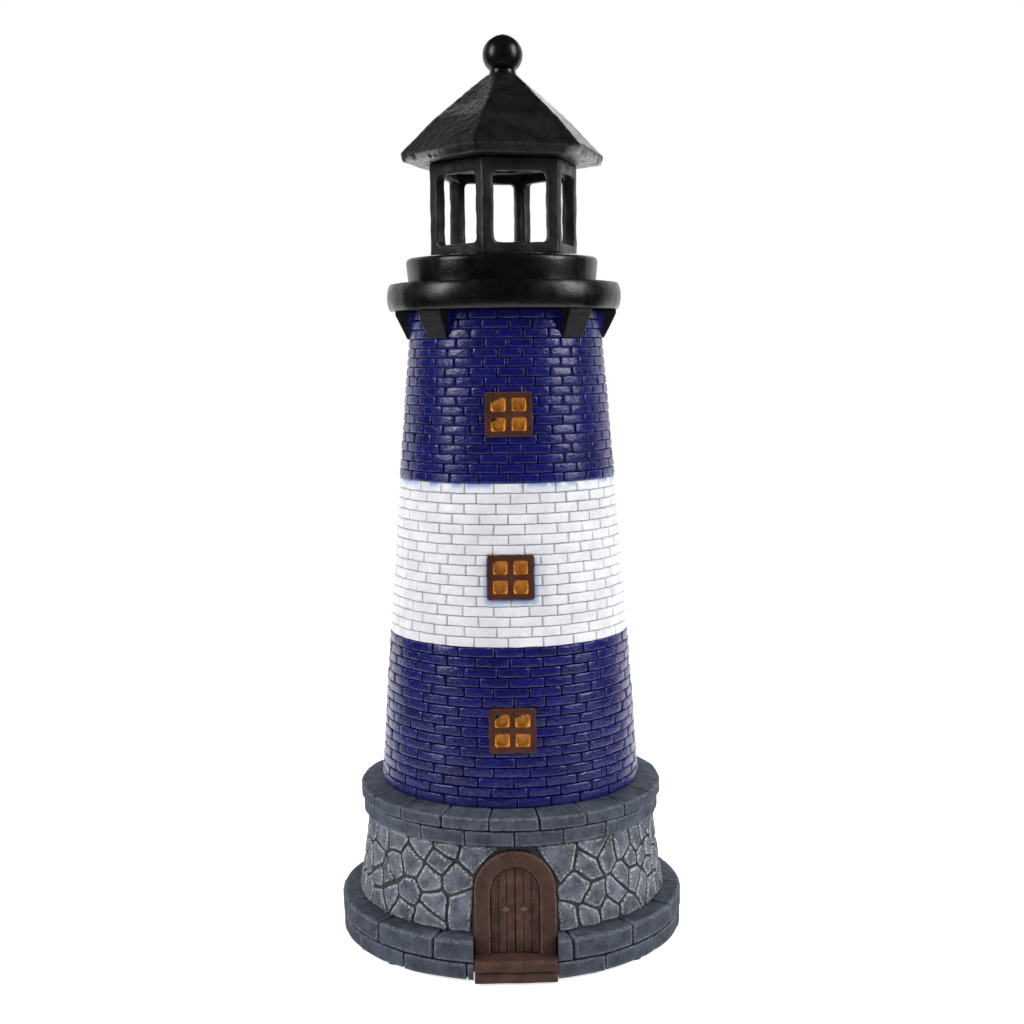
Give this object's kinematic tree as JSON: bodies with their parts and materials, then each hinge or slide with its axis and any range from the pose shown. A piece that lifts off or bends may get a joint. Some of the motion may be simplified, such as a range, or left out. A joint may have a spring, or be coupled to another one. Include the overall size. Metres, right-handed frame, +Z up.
{
  "type": "garden lighthouse ornament",
  "caption": "Cast lighthouse garden light: stone plinth and drum, tapered brick tower with windows, arched door, gallery, open lantern with a solar lamp, roof and ball.",
  "frame": {"origin": "on the tower's axis at ground level, under the rubber pads", "axes": "+Z up; -Y is the front with the door and the windows; +X to the right as seen from the front"},
  "size_m": [0.14, 0.1399, 0.36],
  "materials": {
    "slate": "painted cast resin, slate blocks",
    "rubble": "painted cast resin, rubble stones",
    "bricks": "glossy blue paint with a white band, cast resin",
    "wood": "brown painted resin with wood grain",
    "pull": "lighter brown paint",
    "amber": "translucent amber",
    "black": "semi-gloss black paint",
    "lamp_shell": "moulded, fine texture",
    "nut": "moulded",
    "board": "solder mask",
    "led": "clear epoxy over yellow phosphor",
    "lens": "frosted translucent",
    "seal": "matte",
    "panel": "dark cells under clear cover",
    "screw": "zinc plated",
    "plate": "moulded, fine texture",
    "cell": "plain sleeve, steel ends",
    "contact": "nickel plated",
    "parts": "moulded plugs and chips",
    "slider": "moulded",
    "lead": "insulated wire"
  },
  "bodies": {
    "lighthouse": {"base_plinth": "slate", "stone_drum": "rubble", "coping_ring": "slate", "tower_wall": "bricks", "door_surround": "wood", "door_leaf_left": "wood", "door_leaf_right": "wood", "door_pulls": "pull", "door_step": "wood", "window_frame_lower": "wood", "window_frame_middle": "wood", "window_frame_upper": "wood", "window_panes_lower": "amber", "window_panes_middle": "amber", "window_panes_upper": "amber", "gallery_brackets": "black", "gallery_deck": "black", "lantern_kerb": "black", "lantern_cage": "black", "lantern_roof": "black", "roof_finial": "black", "lamp_housing": "lamp_shell", "lamp_nut": "nut", "led_board": "board", "led_emitters": "led", "lens_seal": "seal", "lamp_lens": "lens", "lens_ring": "lamp_shell", "solar_bezel": "lamp_shell", "solar_panel": "panel", "panel_seal": "seal", "panel_screws": "screw", "base_plate": "plate", "base_gasket": "seal", "plate_screws": "screw", "rubber_pads": "seal", "battery_cell": "cell", "contact_spring": "contact", "contact_plates": "contact", "circuit_board": "board", "board_components": "parts", "board_screws": "screw", "switch_body": "lamp_shell", "lamp_lead": "lead", "panel_lead": "lead", "battery_leads": "lead"},
    "battery_cover": {"battery_cover": "plate"},
    "switch_slider": {"switch_slider": "slider"}
  },
  "joints": [
    {"name": "battery_cover_hinge", "type": "hinge", "parent": "lighthouse", "child": "battery_cover", "pos_m": [-0.03285, -0.022, 0.0014], "axis": [0, 1, 0], "range_deg": [0, 95]},
    {"name": "switch_slide", "type": "slide", "parent": "lighthouse", "child": "switch_slider", "axis": [1, 0, 0], "range_m": [0, 0.003]}
  ]
}
